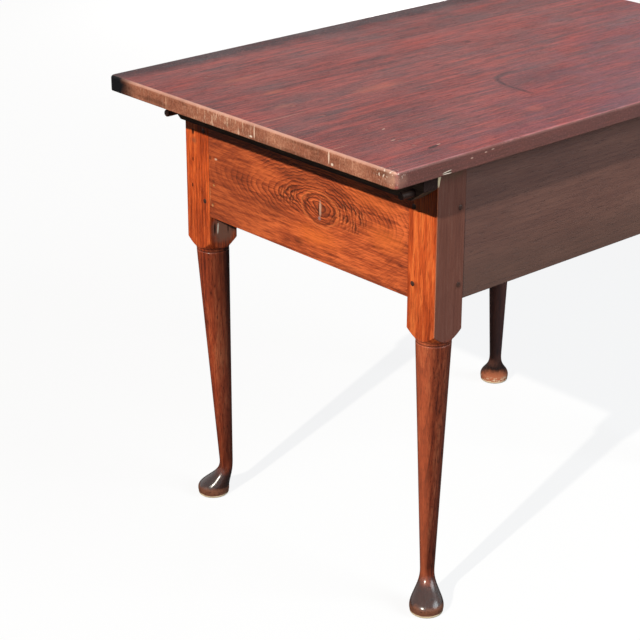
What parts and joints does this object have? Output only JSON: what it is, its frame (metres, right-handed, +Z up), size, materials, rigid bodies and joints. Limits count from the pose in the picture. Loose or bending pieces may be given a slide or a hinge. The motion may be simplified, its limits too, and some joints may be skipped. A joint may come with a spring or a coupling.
{
  "type": "tavern table",
  "caption": "Walnut tavern table with a lift-off board top, end battens held by wooden pins, deep plain aprons and offset-turned pad-foot legs",
  "frame": {"origin": "on the floor, under the middle of the top", "axes": "+X along the table, +Y across it to the back, +Z up; the pictured corner is at -X -Y"},
  "size_m": [0.96, 0.624, 0.737],
  "materials": {
    "walnut_top": "waxed, worn, satin",
    "walnut_leg": "old varnish, satin",
    "walnut_apron": "old varnish, satin",
    "walnut_batten": "dark, unpolished",
    "pin_wood": "dark, handled",
    "peg_wood": "dark end grain",
    "iron_nail": "dark, hand wrought"
  },
  "bodies": {
    "base": {"leg_left_front": "walnut_leg", "leg_left_back": "walnut_leg", "leg_right_front": "walnut_leg", "leg_right_back": "walnut_leg", "end_apron_left": "walnut_apron", "end_apron_right": "walnut_apron", "long_apron_front": "walnut_apron", "long_apron_back": "walnut_apron", "tenon_pegs_left_front": "peg_wood", "tenon_pegs_left_back": "peg_wood", "tenon_pegs_right_front": "peg_wood", "tenon_pegs_right_back": "peg_wood"},
    "top": {"top_board_1": "walnut_top", "top_board_2": "walnut_top", "top_board_3": "walnut_top", "top_board_4": "walnut_top", "batten_left": "walnut_batten", "batten_right": "walnut_batten", "batten_nails_left": "iron_nail", "batten_nails_right": "iron_nail"},
    "top_pin_left_front": {"top_pin_left_front": "pin_wood"},
    "top_pin_left_back": {"top_pin_left_back": "pin_wood"},
    "top_pin_right_front": {"top_pin_right_front": "pin_wood"},
    "top_pin_right_back": {"top_pin_right_back": "pin_wood"}
  },
  "joints": [
    {"name": "top_lift", "type": "slide", "parent": "base", "child": "top", "axis": [0, 0, 1], "range_m": [0, 0.12]},
    {"name": "pin_slide_left_front", "type": "slide", "parent": "top", "child": "top_pin_left_front", "axis": [1, 0, 0], "range_m": [-0.035, 0.018]},
    {"name": "pin_slide_left_back", "type": "slide", "parent": "top", "child": "top_pin_left_back", "axis": [1, 0, 0], "range_m": [-0.035, 0.018]},
    {"name": "pin_slide_right_front", "type": "slide", "parent": "top", "child": "top_pin_right_front", "axis": [-1, 0, 0], "range_m": [-0.035, 0.018]},
    {"name": "pin_slide_right_back", "type": "slide", "parent": "top", "child": "top_pin_right_back", "axis": [-1, 0, 0], "range_m": [-0.035, 0.018]}
  ]
}
